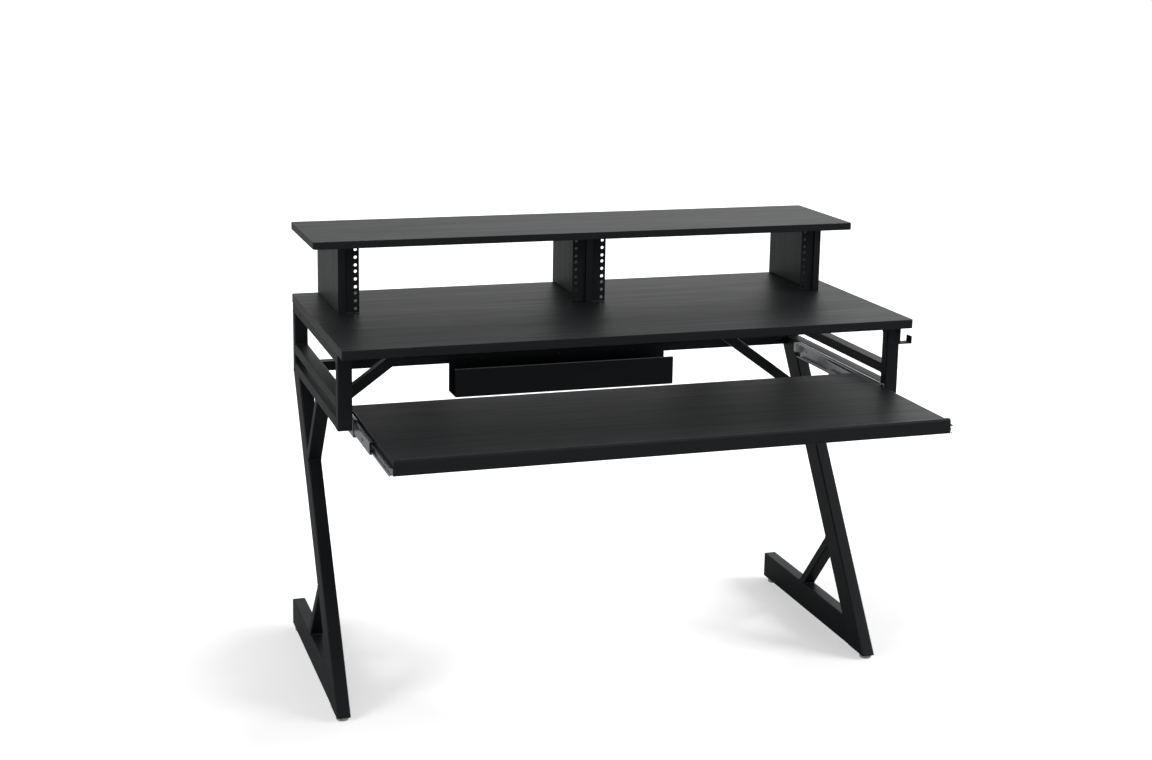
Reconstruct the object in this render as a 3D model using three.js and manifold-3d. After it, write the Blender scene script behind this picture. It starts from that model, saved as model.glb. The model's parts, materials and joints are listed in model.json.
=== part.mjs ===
// Studio desk: laminated boards on two welded Z frames, with two 19-inch rack bays under a shelf
// and a keyboard tray on three-member ball-bearing slides. Millimetres, +X right, +Y back, +Z up.
// While it is built, x is 0 in the desk's middle, y is 0 at the desktop's front edge and z is 0 on
// the floor. At the end the whole desk moves so that its box stands centred on the origin.

import * as THREE from "three";
import { mergeVertices } from "three/addons/utils/BufferGeometryUtils.js";
import Module from "manifold-3d";

const wasm = await Module();
wasm.setup();

// Driving sizes

const seam = 0.2; // gap left between pieces that are bolted or welded together
const overrun = 5; // how far a cut reaches past the faces that it cuts

const desktop = { width: 1170, depth: 558, thickness: 18, height: 765, corner: 5, easing: 1 };

const riser = {
  shelfDepth: 268, // the shelf ends flush with the desktop's rear edge
  shelfThickness: 15,
  shelfCorner: 6,
  boardThickness: 15,
  boardDepth: 231,
  easing: 0.8,
};

const rack = {
  unit: 44.45,
  units: 3,
  panelWidth: 482.6,
  holeSpacing: 465.1,
  clearWidth: 450,
  holeRadius: 3.4,
  screwRadius: 2.2,
  headroom: 4.65, // free height over the stacked units
  sideSlack: 12.3, // from a panel's end to the board beside it
  angleDepth: 26,
  sheet: 2,
  setback: 3, // the angles stand this far behind the boards' front edges
};
// Each unit has three holes, at these shares of its height.
const rackHoleShares = [1 / 7, 1 / 2, 6 / 7];
// The screws into the board are at these shares of the angle's height.
const boardScrewShares = [0.12, 0.5, 0.88];

const frame = {
  inset: 1.4, // frame's outer face from the desktop's end
  frontSetback: 53, // front posts' face from the desktop's front edge
  tubeWidth: 28,
  railHeight: 20,
  postDepth: 22,
  rearPostDepth: 25,
  wall: 1.5,
  corner: 2.5,
  upperGap: 68, // clear height between top rail and mid rail
  lowerGap: 20, // clear height between mid rail and lower rail
  bracketWidth: 24,
  crossRailDepth: 28,
  frontCrossRailSetback: 27, // behind the front posts' face
};

const leg = { depth: 55, lean: 0.68 }; // lean is the run back for each unit of height

const foot = {
  beamHeight: 57,
  tail: 53, // how far the beam reaches behind the desktop
  glideHeight: 8,
  glideRadius: 13,
  glideTaper: 2,
  frontGlideInset: 15.5, // front glide's centre from the leg's toe
  rearGlideInset: 27, // rear glide's centre from the beam's rear end
};

// The plastic plug in a tube's open rear end.
const plug = { flange: 3, depth: 18, wall: 2.5 };

const upperBrace = { depth: 20, lean: 0.742, start: 287 }; // start: its middle, behind the front edge
const lowerBrace = { depth: 20, lean: 0.85, start: 404 };
const kneeBrace = {
  depth: 22,
  rise: 0.73,
  drop: 90, // its middle at the leg, under the lower rail
  behind: 8, // its middle from the leg's, towards the back, so that the shut tray clears it
};

const cableTray = {
  width: 500,
  depth: 60,
  trough: 61, // depth below the stretcher
  sheet: 1.5,
  hem: 8,
  flange: 16,
};

const hook = {
  sheet: 3,
  width: 20,
  flange: 38,
  drop: 32,
  shelf: 26,
  lip: 14,
  overhang: 6, // how far its lip stands out past the desktop's end
  setback: 14,
};

const tray = {
  depth: 388,
  thickness: 25,
  lipDepth: 12,
  lipHeight: 29,
  lipRound: 5,
  under: 128, // board's top face, below the desktop's underside
  pulledOut: 292, // in the pose that is modelled
  easing: 1,
};

// The slides' sections are measured across from the frame's rail (u) and up or down from the
// slide's middle line (v).
const slide = {
  length: 400,
  setback: 3, // shut, its front end stands this far behind the front posts' face
  height: 45,
  across: 12.7,
  sheet: 1.2,
  running: 0.3, // clearance between balls or cages and the members
  ballRadius: 2,
  cageSheet: 0.6,
  outerBallAcross: 6.4,
  innerBallAcross: 9,
  middleShorter: 14, // how much shorter than the slide the middle member is
  cageLength: 150,
  ballsInRow: 6,
  lipAngle: -10, // degrees, where a raceway's lip ends
  holeRadius: 2.6,
  slotLength: 14,
  guideLength: 22,
  tabShare: 0.7, // height of a member's end tab, as a share of the room inside its flanges
  stopLength: 12,
  stopHeight: 20,
};

// Places along a slide's web, as shares of its length from its front end.
const holeShares = [0.09, 0.33, 0.62, 0.92];
const slotShares = [0.16, 0.55];
// The ball cages, with the tray shut, start this far back along the slide.
const cageStartShare = 0.33;

// Colours, roughness and metalness

const laminate = { color: 0x1b1c1e, roughness: 0.45, metalness: 0 };
const powderCoat = { color: 0x2c2f32, roughness: 0.5, metalness: 0.2 };
const zinc = { color: 0xb4b8bc, roughness: 0.3, metalness: 0.9 };
const ballSteel = { color: 0xc9ccce, roughness: 0.15, metalness: 1 };
const blackPlastic = { color: 0x141415, roughness: 0.5, metalness: 0 };
const whitePlastic = { color: 0xdedede, roughness: 0.5, metalness: 0 };
const paleGlide = { color: 0xb9b7b2, roughness: 0.6, metalness: 0 };

// Levels and lines that several pieces share

const undersideZ = desktop.height - desktop.thickness;
const topRail = { top: undersideZ, bottom: undersideZ - frame.railHeight };
const midRail = {
  top: topRail.bottom - frame.upperGap,
  bottom: topRail.bottom - frame.upperGap - frame.railHeight,
};
const lowerRail = {
  top: midRail.bottom - frame.lowerGap,
  bottom: midRail.bottom - frame.lowerGap - frame.railHeight,
};
const frameOuterX = desktop.width / 2 - frame.inset;
const frameInnerX = frameOuterX - frame.tubeWidth;
const frameMiddleX = (frameOuterX + frameInnerX) / 2;
const postRearY = frame.frontSetback + frame.postDepth;
const rearPostFrontY = desktop.depth - frame.rearPostDepth;
const beamBottomZ = foot.glideHeight;
const beamTopZ = beamBottomZ + foot.beamHeight;

// Geometry helpers

function solidFrom(geometry) {
  const bare = geometry.clone();
  bare.deleteAttribute("normal");
  bare.deleteAttribute("uv");
  const merged = mergeVertices(bare, seam / 1000);
  return new wasm.Manifold(
    new wasm.Mesh({
      numProp: 3,
      vertProperties: new Float32Array(merged.attributes.position.array),
      triVerts: new Uint32Array(merged.index.array),
    }),
  );
}

function geometryFrom(solid) {
  const mesh = solid.getMesh();
  const geometry = new THREE.BufferGeometry();
  geometry.setAttribute("position", new THREE.BufferAttribute(mesh.vertProperties, 3));
  geometry.setIndex(new THREE.BufferAttribute(mesh.triVerts, 1));
  const faceted = geometry.toNonIndexed();
  faceted.computeVertexNormals();
  return faceted;
}

function subtractAll(geometry, cutters) {
  let solid = solidFrom(geometry);
  for (const cutter of cutters) solid = solid.subtract(solidFrom(cutter));
  return geometryFrom(solid);
}

function addAll(geometry, additions) {
  let solid = solidFrom(geometry);
  for (const addition of additions) solid = solid.add(solidFrom(addition));
  return geometryFrom(solid);
}

// A shape from corner points, each corner rounded by its radius (zero leaves it sharp).
function roundedShape(points, radii) {
  const shape = new THREE.Shape();
  const count = points.length;
  points.forEach((point, i) => {
    const before = points[(i + count - 1) % count].clone().sub(point).normalize();
    const after = points[(i + 1) % count].clone().sub(point).normalize();
    const radius = radii[i];
    const start = point.clone().addScaledVector(before, radius);
    const end = point.clone().addScaledVector(after, radius);
    if (i === 0) shape.moveTo(start.x, start.y);
    else shape.lineTo(start.x, start.y);
    if (radius > 0) shape.quadraticCurveTo(point.x, point.y, end.x, end.y);
  });
  shape.closePath();
  return shape;
}

function rectangleShape(width, height, radius) {
  const x = width / 2;
  const y = height / 2;
  const corners = [
    new THREE.Vector2(-x, -y),
    new THREE.Vector2(x, -y),
    new THREE.Vector2(x, y),
    new THREE.Vector2(-x, y),
  ];
  return roundedShape(corners, [radius, radius, radius, radius]);
}

function extrude(shape, depth, curveSegments = 3) {
  return new THREE.ExtrudeGeometry(shape, { depth, curveSegments, bevelEnabled: false });
}

// An extrusion of an (x, z) shape that runs back along +Y from y = 0.
function extrudeBack(shape, depth, curveSegments = 3) {
  const geometry = extrude(shape, depth, curveSegments);
  geometry.rotateX(Math.PI / 2);
  geometry.translate(0, depth, 0);
  return geometry;
}

// An extrusion of a (y, z) shape that runs right along +X from x = 0.
function extrudeRight(shape, depth, curveSegments = 3) {
  const geometry = extrude(shape, depth, curveSegments);
  geometry.rotateY(Math.PI / 2);
  geometry.rotateX(Math.PI / 2);
  return geometry;
}

// A board lying flat, with rounded upright corners and eased edges, centred on its own middle.
function boardGeometry(width, depth, thickness, corner, easing) {
  const inner = rectangleShape(width - 2 * easing, depth - 2 * easing, corner);
  const geometry = new THREE.ExtrudeGeometry(inner, {
    depth: thickness - 2 * easing,
    bevelEnabled: true,
    bevelThickness: easing,
    bevelSize: easing,
    bevelSegments: 1,
    curveSegments: 4,
  });
  geometry.translate(0, 0, easing - thickness / 2);
  return geometry;
}

// The outline of a folded sheet: its centre line is given as points, and it is half the sheet's
// thickness thick on each side, mitred at each bend.
function sheetShape(line, sheet) {
  const half = sheet / 2;
  const left = [];
  const right = [];
  line.forEach((point, i) => {
    const ahead = line[Math.min(i + 1, line.length - 1)].clone();
    const behind = line[Math.max(i - 1, 0)].clone();
    const into = point.clone().sub(behind);
    const out = ahead.sub(point);
    if (into.length() === 0) into.copy(out);
    if (out.length() === 0) out.copy(into);
    into.normalize();
    out.normalize();
    const normal = new THREE.Vector2(-into.y - out.y, into.x + out.x).normalize();
    const reach = half / Math.max(normal.dot(new THREE.Vector2(-out.y, out.x)), 0.3);
    left.push(point.clone().addScaledVector(normal, reach));
    right.unshift(point.clone().addScaledVector(normal, -reach));
  });
  return new THREE.Shape([...left, ...right]);
}

// Points of a circular arc, both ends included. Angles are in degrees.
function arcPoints(centre, radius, from, to, steps) {
  return Array.from({ length: steps + 1 }, (_, i) => {
    const angle = THREE.MathUtils.degToRad(from + ((to - from) * i) / steps);
    return new THREE.Vector2(
      centre.x + radius * Math.cos(angle),
      centre.y + radius * Math.sin(angle),
    );
  });
}

// Directions in a tube's own plane, for cutting its ends.
const level = new THREE.Vector2(1, 0);
const plumb = new THREE.Vector2(0, 1);

// A straight rectangular tube between two points of one upright plane. Its geometry lies along
// its own +Z, with the section's depth along its own Y, and each end is cut along a direction of
// the plane. An open end shows the bore, and a shut end keeps one wall.
function tubeGeometry({ from, to, wide, deep, startCut, endCut, startShut = false, endShut = false }) {
  const along = to.clone().sub(from);
  const length = along.length();
  along.normalize();
  const across = new THREE.Vector2(-along.y, along.x);
  const slope = (cut) => (cut ? -across.cross(cut) / along.cross(cut) : 0);
  const mitred = (shape, startTrim, endTrim) => {
    const geometry = extrude(shape, length, 2);
    const position = geometry.attributes.position;
    for (let i = 0; i < position.count; i += 1) {
      const atEnd = position.getZ(i) > length / 2;
      const shift = position.getY(i) * slope(atEnd ? endCut : startCut);
      position.setZ(i, position.getZ(i) + shift + (atEnd ? endTrim : startTrim));
    }
    return geometry;
  };
  const past = (shut) => (shut ? -frame.wall : overrun);
  const skin = mitred(rectangleShape(wide, deep, frame.corner), 0, 0);
  const bore = mitred(
    rectangleShape(wide - 2 * frame.wall, deep - 2 * frame.wall, 0),
    -past(startShut),
    past(endShut),
  );
  return subtractAll(skin, [bore]);
}

function makeMesh(name, geometry, look) {
  const mesh = new THREE.Mesh(geometry, new THREE.MeshStandardMaterial(look));
  mesh.name = name;
  return mesh;
}

// Stands a tube of tubeGeometry in a plane. The plane's first axis is +Y for the side frames and
// +X (or -X) for the knee braces.
function standTube(mesh, from, to, planeAxis, offset) {
  const up = new THREE.Vector3(0, 0, 1);
  const along2 = to.clone().sub(from).normalize();
  const along = planeAxis.clone().multiplyScalar(along2.x).addScaledVector(up, along2.y);
  const across = planeAxis.clone().multiplyScalar(-along2.y).addScaledVector(up, along2.x);
  const side = new THREE.Vector3().crossVectors(across, along);
  mesh.quaternion.setFromRotationMatrix(new THREE.Matrix4().makeBasis(side, across, along));
  mesh.position.copy(planeAxis).multiplyScalar(from.x).addScaledVector(up, from.y).add(offset);
  return mesh;
}

const desk = new THREE.Group();

// Desktop

function buildDesktop() {
  const { width, depth, thickness, corner, easing, height } = desktop;
  const top = makeMesh("desktop", boardGeometry(width, depth, thickness, corner, easing), laminate);
  top.position.set(0, depth / 2, height - thickness / 2);
  return top;
}

// Riser: a shelf on three upright boards, and the steel angles of the two rack bays

const bayHeight = rack.unit * rack.units + rack.headroom;
const bayWidth = rack.panelWidth + 2 * rack.sideSlack;
const bayPitch = bayWidth + riser.boardThickness;
const riserFrontY = desktop.depth - riser.boardDepth;

function uprightBoard(name, x) {
  const { boardThickness, boardDepth, easing } = riser;
  const geometry = boardGeometry(boardDepth, bayHeight - seam, boardThickness, seam, easing);
  geometry.rotateX(Math.PI / 2);
  geometry.rotateZ(Math.PI / 2);
  const board = makeMesh(name, geometry, laminate);
  board.position.set(x, riserFrontY + boardDepth / 2, desktop.height + (bayHeight + seam) / 2);
  return board;
}

function buildRiser() {
  const shelf = makeMesh(
    "riser_shelf",
    boardGeometry(
      desktop.width,
      riser.shelfDepth,
      riser.shelfThickness,
      riser.shelfCorner,
      riser.easing,
    ),
    laminate,
  );
  shelf.position.set(
    0,
    desktop.depth - riser.shelfDepth / 2,
    desktop.height + bayHeight + seam + riser.shelfThickness / 2,
  );
  return [
    shelf,
    uprightBoard("riser_side_left", -bayPitch),
    uprightBoard("riser_divider", 0),
    uprightBoard("riser_side_right", bayPitch),
  ];
}

// A rack angle stands against a board: one leg lies on the board, and the other faces forward and
// has three holes for each unit. side is 1 where the board is on the angle's right.
function rackAngle(name, boardFaceX, side) {
  const face = (bayWidth - rack.clearWidth) / 2;
  const height = bayHeight - 2 * seam;
  const half = rack.sheet / 2;
  const line = [
    new THREE.Vector2(-side * face, half),
    new THREE.Vector2(-side * (half + seam), half),
    new THREE.Vector2(-side * (half + seam), rack.angleDepth),
  ];
  const blank = extrude(sheetShape(line, rack.sheet), height);
  const holeX = -side * ((bayWidth - rack.holeSpacing) / 2);
  const holes = [];
  for (let unit = 0; unit < rack.units; unit += 1) {
    for (const share of rackHoleShares) {
      const hole = new THREE.CylinderGeometry(rack.holeRadius, rack.holeRadius, 2 * overrun, 10);
      hole.translate(holeX, 0, (unit + share) * rack.unit + rack.headroom / 2);
      holes.push(hole);
    }
  }
  for (const share of boardScrewShares) {
    const hole = new THREE.CylinderGeometry(rack.screwRadius, rack.screwRadius, 2 * overrun, 10);
    hole.rotateZ(Math.PI / 2);
    hole.translate(0, (rack.sheet + rack.angleDepth) / 2, share * height);
    holes.push(hole);
  }
  const angle = makeMesh(name, subtractAll(blank, holes), powderCoat);
  angle.position.set(boardFaceX, riserFrontY + rack.setback, desktop.height + seam);
  return angle;
}

function buildRackAngles() {
  const boardHalf = riser.boardThickness / 2;
  const angles = [];
  for (const [bay, centre] of [["left", -bayPitch], ["right", 0]]) {
    angles.push(rackAngle(`rack_angle_${bay}_bay_left`, centre + boardHalf, -1));
    angles.push(rackAngle(`rack_angle_${bay}_bay_right`, centre + bayPitch - boardHalf, 1));
  }
  return angles;
}

// Side frames

const lean = new THREE.Vector2(leg.lean, 1).normalize();
const legRun = leg.depth / lean.y; // the leg's depth, measured level
const legTopRearY = desktop.depth;
// Where the leg's middle line is at a height.
const legMiddleY = (z) => legTopRearY - legRun / 2 - (lowerRail.bottom - z) * leg.lean;
const legFrontY = (z) => legMiddleY(z) - legRun / 2;
const legRearY = (z) => legMiddleY(z) + legRun / 2;

// The tubes of one side frame, each as its middle line in the frame's (y, z) plane.
function frameTubes() {
  const { frontSetback, postDepth, rearPostDepth, railHeight } = frame;
  const at = (y, z) => new THREE.Vector2(y, z);
  const middle = (rail) => (rail.top + rail.bottom) / 2;
  const betweenPosts = (rail) => ({
    from: at(postRearY + seam, middle(rail)),
    to: at(rearPostFrontY - seam, middle(rail)),
    deep: railHeight,
  });
  const postTop = topRail.bottom - seam;
  const legTop = lowerRail.bottom - seam;
  const legBottom = beamBottomZ;

  const upperLean = new THREE.Vector2(upperBrace.lean, -1).normalize();
  const upperStart = at(upperBrace.start, legTop);
  const upperDrop = (legMiddleY(legTop) - legRun / 2 - upperBrace.start) / (upperBrace.lean + leg.lean);
  const upperEnd = upperStart.clone().add(at(upperBrace.lean * upperDrop, -upperDrop));
  upperEnd.addScaledVector(upperLean, -seam / lean.y);

  const lowerLean = new THREE.Vector2(-lowerBrace.lean, 1).normalize();
  const lowerStart = at(lowerBrace.start, beamTopZ + seam);
  const lowerRise = (lowerBrace.start - legRearY(lowerStart.y)) / (lowerBrace.lean + leg.lean);
  const lowerEnd = lowerStart.clone().add(at(-lowerBrace.lean * lowerRise, lowerRise));
  lowerEnd.addScaledVector(lowerLean, -seam / lean.y);

  const beamMiddle = (beamBottomZ + beamTopZ) / 2;
  return {
    top_rail: {
      from: at(frontSetback, middle(topRail) - seam / 2),
      to: at(desktop.depth - plug.flange - seam, middle(topRail) - seam / 2),
      deep: railHeight - seam,
      startShut: true,
    },
    mid_rail: betweenPosts(midRail),
    lower_rail: betweenPosts(lowerRail),
    front_post: {
      from: at(frontSetback + postDepth / 2, lowerRail.bottom),
      to: at(frontSetback + postDepth / 2, postTop),
      deep: postDepth,
      startShut: true,
    },
    rear_post: {
      from: at(desktop.depth - rearPostDepth / 2, lowerRail.bottom),
      to: at(desktop.depth - rearPostDepth / 2, postTop),
      deep: rearPostDepth,
    },
    leg: {
      from: at(legMiddleY(legBottom), legBottom),
      to: at(legMiddleY(legTop), legTop),
      deep: leg.depth,
      startCut: level,
      endCut: level,
      startShut: true,
    },
    upper_brace: {
      from: upperStart,
      to: upperEnd,
      deep: upperBrace.depth,
      startCut: level,
      endCut: lean,
    },
    lower_brace: {
      from: lowerStart,
      to: lowerEnd,
      deep: lowerBrace.depth,
      startCut: level,
      endCut: lean,
    },
    foot_beam: {
      from: at(legRearY(beamMiddle) + seam / lean.y, beamMiddle),
      to: at(desktop.depth + foot.tail - plug.flange - seam, beamMiddle),
      deep: foot.beamHeight,
      startCut: lean,
      endCut: plumb,
    },
  };
}

function buildSideFrame(sideName, side) {
  const planeAxis = new THREE.Vector3(0, 1, 0);
  const offset = new THREE.Vector3(side * frameMiddleX, 0, 0);
  return Object.entries(frameTubes()).map(([piece, tube]) => {
    const geometry = tubeGeometry({ ...tube, wide: frame.tubeWidth });
    const mesh = makeMesh(`${piece}_${sideName}`, geometry, powderCoat);
    return standTube(mesh, tube.from, tube.to, planeAxis, offset);
  });
}

// A plug that shuts a tube's rear end: a flange over the wall, and a hollow stub in the bore.
function buildPlug(name, side, rearY, middleZ, high) {
  const { tubeWidth, wall, corner } = frame;
  const stubWidth = tubeWidth - 2 * (wall + seam);
  const stubHeight = high - 2 * (wall + seam);
  const flange = extrudeBack(rectangleShape(tubeWidth, high, corner), plug.flange);
  flange.translate(0, plug.depth, 0);
  const stub = extrudeBack(rectangleShape(stubWidth, stubHeight, 0), plug.depth + seam);
  const pocketShape = rectangleShape(stubWidth - 2 * plug.wall, stubHeight - 2 * plug.wall, 0);
  const pocket = extrudeBack(pocketShape, plug.depth + overrun);
  pocket.translate(0, -overrun, 0);
  const mesh = makeMesh(name, subtractAll(addAll(flange, [stub]), [pocket]), blackPlastic);
  mesh.position.set(side * frameMiddleX, rearY - plug.flange - plug.depth, middleZ);
  return mesh;
}

function buildPlugs(sideName, side) {
  const beamMiddle = (beamBottomZ + beamTopZ) / 2;
  const railMiddle = (topRail.top + topRail.bottom - seam) / 2;
  const beamRear = desktop.depth + foot.tail;
  const railHigh = frame.railHeight - seam;
  return [
    buildPlug(`beam_cap_${sideName}`, side, beamRear, beamMiddle, foot.beamHeight),
    buildPlug(`rail_cap_${sideName}`, side, desktop.depth, railMiddle, railHigh),
  ];
}

// A round glide: a disc with a tapered rim that stands on the floor.
function buildGlide(name, x, y) {
  const { glideRadius, glideHeight, glideTaper } = foot;
  const height = glideHeight - seam;
  const profile = [
    new THREE.Vector2(0, 0),
    new THREE.Vector2(glideRadius - glideTaper, 0),
    new THREE.Vector2(glideRadius, glideTaper),
    new THREE.Vector2(glideRadius, height),
    new THREE.Vector2(0, height),
  ];
  const geometry = new THREE.LatheGeometry(profile, 20);
  geometry.rotateX(Math.PI / 2);
  const glide = makeMesh(name, geometry, paleGlide);
  glide.position.set(x, y, 0);
  return glide;
}

function buildGlides() {
  const frontY = legFrontY(beamBottomZ) + foot.frontGlideInset;
  const rearY = desktop.depth + foot.tail - foot.rearGlideInset;
  return [
    buildGlide("glide_front_left", -frameMiddleX, frontY),
    buildGlide("glide_rear_left", -frameMiddleX, rearY),
    buildGlide("glide_front_right", frameMiddleX, frontY),
    buildGlide("glide_rear_right", frameMiddleX, rearY),
  ];
}

// Tubes that tie the two frames together

function crossTube(name, y, z, deep, high) {
  const length = 2 * (frameInnerX - seam);
  const skin = extrudeRight(rectangleShape(deep, high, frame.corner), length, 2);
  const bore = extrudeRight(
    rectangleShape(deep - 2 * frame.wall, high - 2 * frame.wall, 0),
    length + 2 * overrun,
  );
  bore.translate(-overrun, 0, 0);
  const tube = makeMesh(name, subtractAll(skin, [bore]), powderCoat);
  tube.position.set(-length / 2, y, z);
  return tube;
}

const kneeBraceY = legMiddleY(lowerRail.bottom - kneeBrace.drop) + kneeBrace.behind;
const rearCrossRailRearY = kneeBraceY + frame.bracketWidth / 2;

function buildCrossTubes() {
  const railZ = topRail.bottom + (frame.railHeight - seam) / 2;
  const railHigh = frame.railHeight - seam;
  const frontY = frame.frontSetback + frame.frontCrossRailSetback + frame.crossRailDepth / 2;
  const stretcherZ = (lowerRail.top + lowerRail.bottom) / 2;
  return [
    crossTube("front_cross_rail", frontY, railZ, frame.crossRailDepth, railHigh),
    crossTube(
      "rear_cross_rail",
      rearCrossRailRearY - frame.crossRailDepth / 2,
      railZ,
      frame.crossRailDepth,
      railHigh,
    ),
    crossTube(
      "rear_stretcher",
      desktop.depth - frame.crossRailDepth / 2,
      stretcherZ,
      frame.crossRailDepth,
      frame.railHeight,
    ),
  ];
}

// A knee brace rises from the inner face of a leg to the underside of the rear cross rail.
function buildKneeBrace(sideName, side) {
  const startZ = lowerRail.bottom - kneeBrace.drop;
  const endZ = topRail.bottom - seam;
  const from = new THREE.Vector2(-(frameInnerX - seam), startZ);
  const to = new THREE.Vector2(from.x + (endZ - startZ) / kneeBrace.rise, endZ);
  const wide = frame.bracketWidth;
  const geometry = tubeGeometry({
    from,
    to,
    wide,
    deep: kneeBrace.depth,
    startCut: plumb,
    endCut: level,
  });
  const mesh = makeMesh(`knee_brace_${sideName}`, geometry, powderCoat);
  const planeAxis = new THREE.Vector3(-side, 0, 0);
  return standTube(mesh, from, to, planeAxis, new THREE.Vector3(0, kneeBraceY, 0));
}

// A folded trough for cables, hung on the stretcher's front face, with a hemmed front wall.
function buildCableTray() {
  const { width, depth, trough, sheet, hem, flange } = cableTray;
  const rear = desktop.depth - frame.crossRailDepth - seam - sheet / 2;
  const front = rear - depth + sheet;
  const bottom = lowerRail.bottom - trough + sheet / 2;
  const line = [
    new THREE.Vector2(front + hem, lowerRail.bottom - sheet / 2),
    new THREE.Vector2(front, lowerRail.bottom - sheet / 2),
    new THREE.Vector2(front, bottom),
    new THREE.Vector2(rear, bottom),
    new THREE.Vector2(rear, lowerRail.bottom + flange),
  ];
  const trayMesh = makeMesh("cable_tray", extrudeRight(sheetShape(line, sheet), width), powderCoat);
  trayMesh.position.set(-width / 2, 0, 0);
  return trayMesh;
}

// A flat bar bent into a hook: a flange under the desktop, a drop, a shelf and an upturned lip.
function buildHook() {
  const { sheet, width, flange, drop, shelf, lip, overhang, setback } = hook;
  const top = undersideZ - seam - sheet / 2;
  const tip = desktop.width / 2 + overhang - sheet / 2;
  const line = [
    new THREE.Vector2(tip - shelf - flange, top),
    new THREE.Vector2(tip - shelf, top),
    new THREE.Vector2(tip - shelf, top - drop),
    new THREE.Vector2(tip, top - drop),
    new THREE.Vector2(tip, top - drop + lip),
  ];
  const mesh = makeMesh("headphone_hook", extrudeBack(sheetShape(line, sheet), width), powderCoat);
  mesh.position.set(0, setback, 0);
  return mesh;
}

// Keyboard tray, built where it stands in this pose

const slideMiddleZ = undersideZ - tray.under - tray.thickness / 2;
const slideFrontShutY = frame.frontSetback + slide.setback;
const slideRearShutY = slideFrontShutY + slide.length;
const trayFrontY = frame.frontSetback - tray.pulledOut;

function buildTray() {
  const width = 2 * (frameInnerX - slide.across - 2 * seam);
  const topZ = undersideZ - tray.under;
  const board = makeMesh(
    "keyboard_tray",
    boardGeometry(width, tray.depth, tray.thickness, seam, tray.easing),
    laminate,
  );
  board.position.set(
    0,
    trayFrontY + tray.lipDepth + seam + tray.depth / 2,
    topZ - tray.thickness / 2,
  );

  const { lipDepth, lipHeight, lipRound } = tray;
  const corners = [
    new THREE.Vector2(0, 0),
    new THREE.Vector2(lipDepth, 0),
    new THREE.Vector2(lipDepth, lipHeight),
    new THREE.Vector2(0, lipHeight),
  ];
  const section = roundedShape(corners, [lipRound / 2, 0, lipRound / 2, lipRound]);
  const lip = makeMesh("tray_front_lip", extrudeRight(section, width, 4), laminate);
  lip.position.set(-width / 2, trayFrontY, topZ - tray.thickness);
  return [board, lip];
}

// Slides

// The centre lines of the members, upper half first. Each member is a folded strip whose flanges
// end in raceways that wrap the balls. side is 1 on the right, where across runs to the left.
const raceway = slide.ballRadius + slide.running + slide.sheet / 2;
const outerBallV = slide.height / 2 - slide.sheet - slide.running - slide.ballRadius;
const innerBallV = outerBallV - 2 * raceway;
const cageHalf = slide.cageSheet / 2;
const outerWebU = slide.sheet / 2;
const outerCageU = slide.sheet + slide.running + cageHalf;
const middleWebU = outerCageU + cageHalf + slide.running + slide.sheet / 2;
const innerCageU = middleWebU + slide.sheet / 2 + slide.running + cageHalf;
const innerWebU = slide.across - slide.sheet / 2;

function mirroredLine(upper) {
  const lower = upper.map((point) => new THREE.Vector2(point.x, -point.y)).reverse();
  return [...upper, ...lower];
}

function sectionShape(upper, sheet, side) {
  const line = mirroredLine(upper).map((point) => new THREE.Vector2(-side * point.x, point.y));
  return sheetShape(line, sheet);
}

function outerSection(side) {
  const centre = new THREE.Vector2(slide.outerBallAcross, outerBallV);
  const bend = 2 * slide.sheet;
  const corner = new THREE.Vector2(outerWebU + bend, outerBallV + raceway - bend);
  const upper = [
    ...arcPoints(centre, raceway, slide.lipAngle, 90, 5),
    ...arcPoints(corner, bend, 90, 180, 3),
  ];
  return sectionShape(upper, slide.sheet, side);
}

function middleSection(side) {
  const centre = new THREE.Vector2(slide.innerBallAcross, innerBallV);
  const bend = slide.sheet;
  const corner = new THREE.Vector2(middleWebU + bend, innerBallV + raceway - bend);
  const upper = [
    ...arcPoints(centre, raceway, slide.lipAngle, 90, 5),
    ...arcPoints(corner, bend, 90, 180, 2),
  ];
  return sectionShape(upper, slide.sheet, side);
}

function innerSection(side) {
  const centre = new THREE.Vector2(slide.innerBallAcross, innerBallV);
  const bend = slide.sheet;
  const corner = new THREE.Vector2(innerWebU - bend, innerBallV - raceway - bend);
  const upper = [
    ...arcPoints(centre, raceway, 180 - slide.lipAngle, 270, 5),
    ...arcPoints(corner, bend, 90, 0, 2),
  ];
  return sectionShape(upper, slide.sheet, side);
}

// Screw holes and slots through a member's web, cut across it at shares of its length.
function webCutters(length, holes, slots) {
  const { holeRadius, slotLength, across } = slide;
  const reach = 2 * across;
  const cutters = holes.map((share) => {
    const hole = new THREE.CylinderGeometry(holeRadius, holeRadius, reach, 10);
    hole.rotateZ(Math.PI / 2);
    hole.translate(0, share * length, 0);
    return hole;
  });
  for (const share of slots) {
    const slot = extrudeRight(rectangleShape(slotLength, 2 * holeRadius, holeRadius), reach, 3);
    slot.translate(-reach / 2, share * length, 0);
    cutters.push(slot);
  }
  return cutters;
}

// A member with its holes and, where it has one, the tab bent across its channel at one end.
function memberMesh(name, section, length, holes, slots, tab) {
  const blank = extrudeBack(section, length);
  const punched = subtractAll(blank, webCutters(length, holes, slots));
  return makeMesh(name, tab ? addAll(punched, [tab]) : punched, zinc);
}

// An end tab reaches from the web, at one across value, to another.
function endTab(side, fromU, toU, high, startY) {
  const shape = rectangleShape(Math.abs(toU - fromU), high, 0);
  const geometry = extrudeBack(shape, slide.sheet);
  geometry.translate((-side * (fromU + toU)) / 2, startY, 0);
  return geometry;
}

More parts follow.
